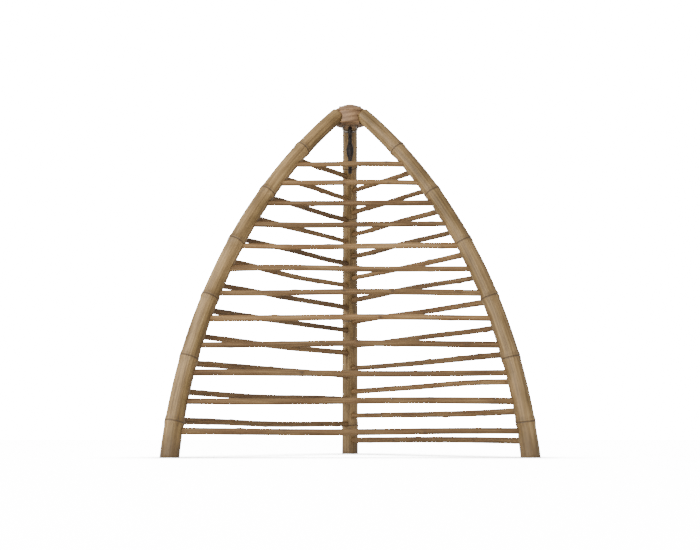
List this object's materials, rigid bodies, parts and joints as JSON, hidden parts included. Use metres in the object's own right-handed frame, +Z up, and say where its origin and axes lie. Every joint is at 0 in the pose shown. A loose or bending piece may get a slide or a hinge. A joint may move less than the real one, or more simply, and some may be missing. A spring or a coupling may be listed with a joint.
{
  "type": "garden obelisk",
  "caption": "Low pointed garden obelisk: bent cane ribs on a triangular stance meet in a turned hub, closed by courses of willow rungs, with an iron hook hanging inside.",
  "frame": {"origin": "on the ground, at the middle of the footprint's bounding box", "axes": "+Z up towards the hub; -Y towards the front, the flat side between two ribs; +Y to the back rib; +X to the right seen from the front"},
  "size_m": [0.5497, 0.4801, 0.56],
  "materials": {
    "rib_cane": "satin",
    "willow_rung": "matte",
    "turned_wood": "satin",
    "pin_wood": "matte",
    "staple_wire": "dull, weathered",
    "forged_iron": "rough, dark"
  },
  "bodies": {
    "frame": {"rib_back": "rib_cane", "rib_front_right": "rib_cane", "rib_front_left": "rib_cane", "rung_right_01": "willow_rung", "rung_right_02": "willow_rung", "rung_right_03": "willow_rung", "rung_right_04": "willow_rung", "rung_right_05": "willow_rung", "rung_right_06": "willow_rung", "rung_right_07": "willow_rung", "rung_right_08": "willow_rung", "rung_right_09": "willow_rung", "rung_right_10": "willow_rung", "rung_right_11": "willow_rung", "rung_right_12": "willow_rung", "rung_front_01": "willow_rung", "rung_front_02": "willow_rung", "rung_front_03": "willow_rung", "rung_front_04": "willow_rung", "rung_front_05": "willow_rung", "rung_front_06": "willow_rung", "rung_front_07": "willow_rung", "rung_front_08": "willow_rung", "rung_front_09": "willow_rung", "rung_front_10": "willow_rung", "rung_front_11": "willow_rung", "rung_front_12": "willow_rung", "rung_left_01": "willow_rung", "rung_left_02": "willow_rung", "rung_left_03": "willow_rung", "rung_left_04": "willow_rung", "rung_left_05": "willow_rung", "rung_left_06": "willow_rung", "rung_left_07": "willow_rung", "rung_left_08": "willow_rung", "rung_left_09": "willow_rung", "rung_left_10": "willow_rung", "rung_left_11": "willow_rung", "rung_left_12": "willow_rung", "hub": "turned_wood", "tenon_pins": "pin_wood", "hook_staple": "staple_wire"},
    "hook": {"hook": "forged_iron"}
  },
  "joints": [
    {"name": "hook_swing", "type": "hinge", "parent": "frame", "child": "hook", "pos_m": [0, -0.075, 0.516], "axis": [1, 0, 0], "range_deg": [-30, 30]}
  ]
}
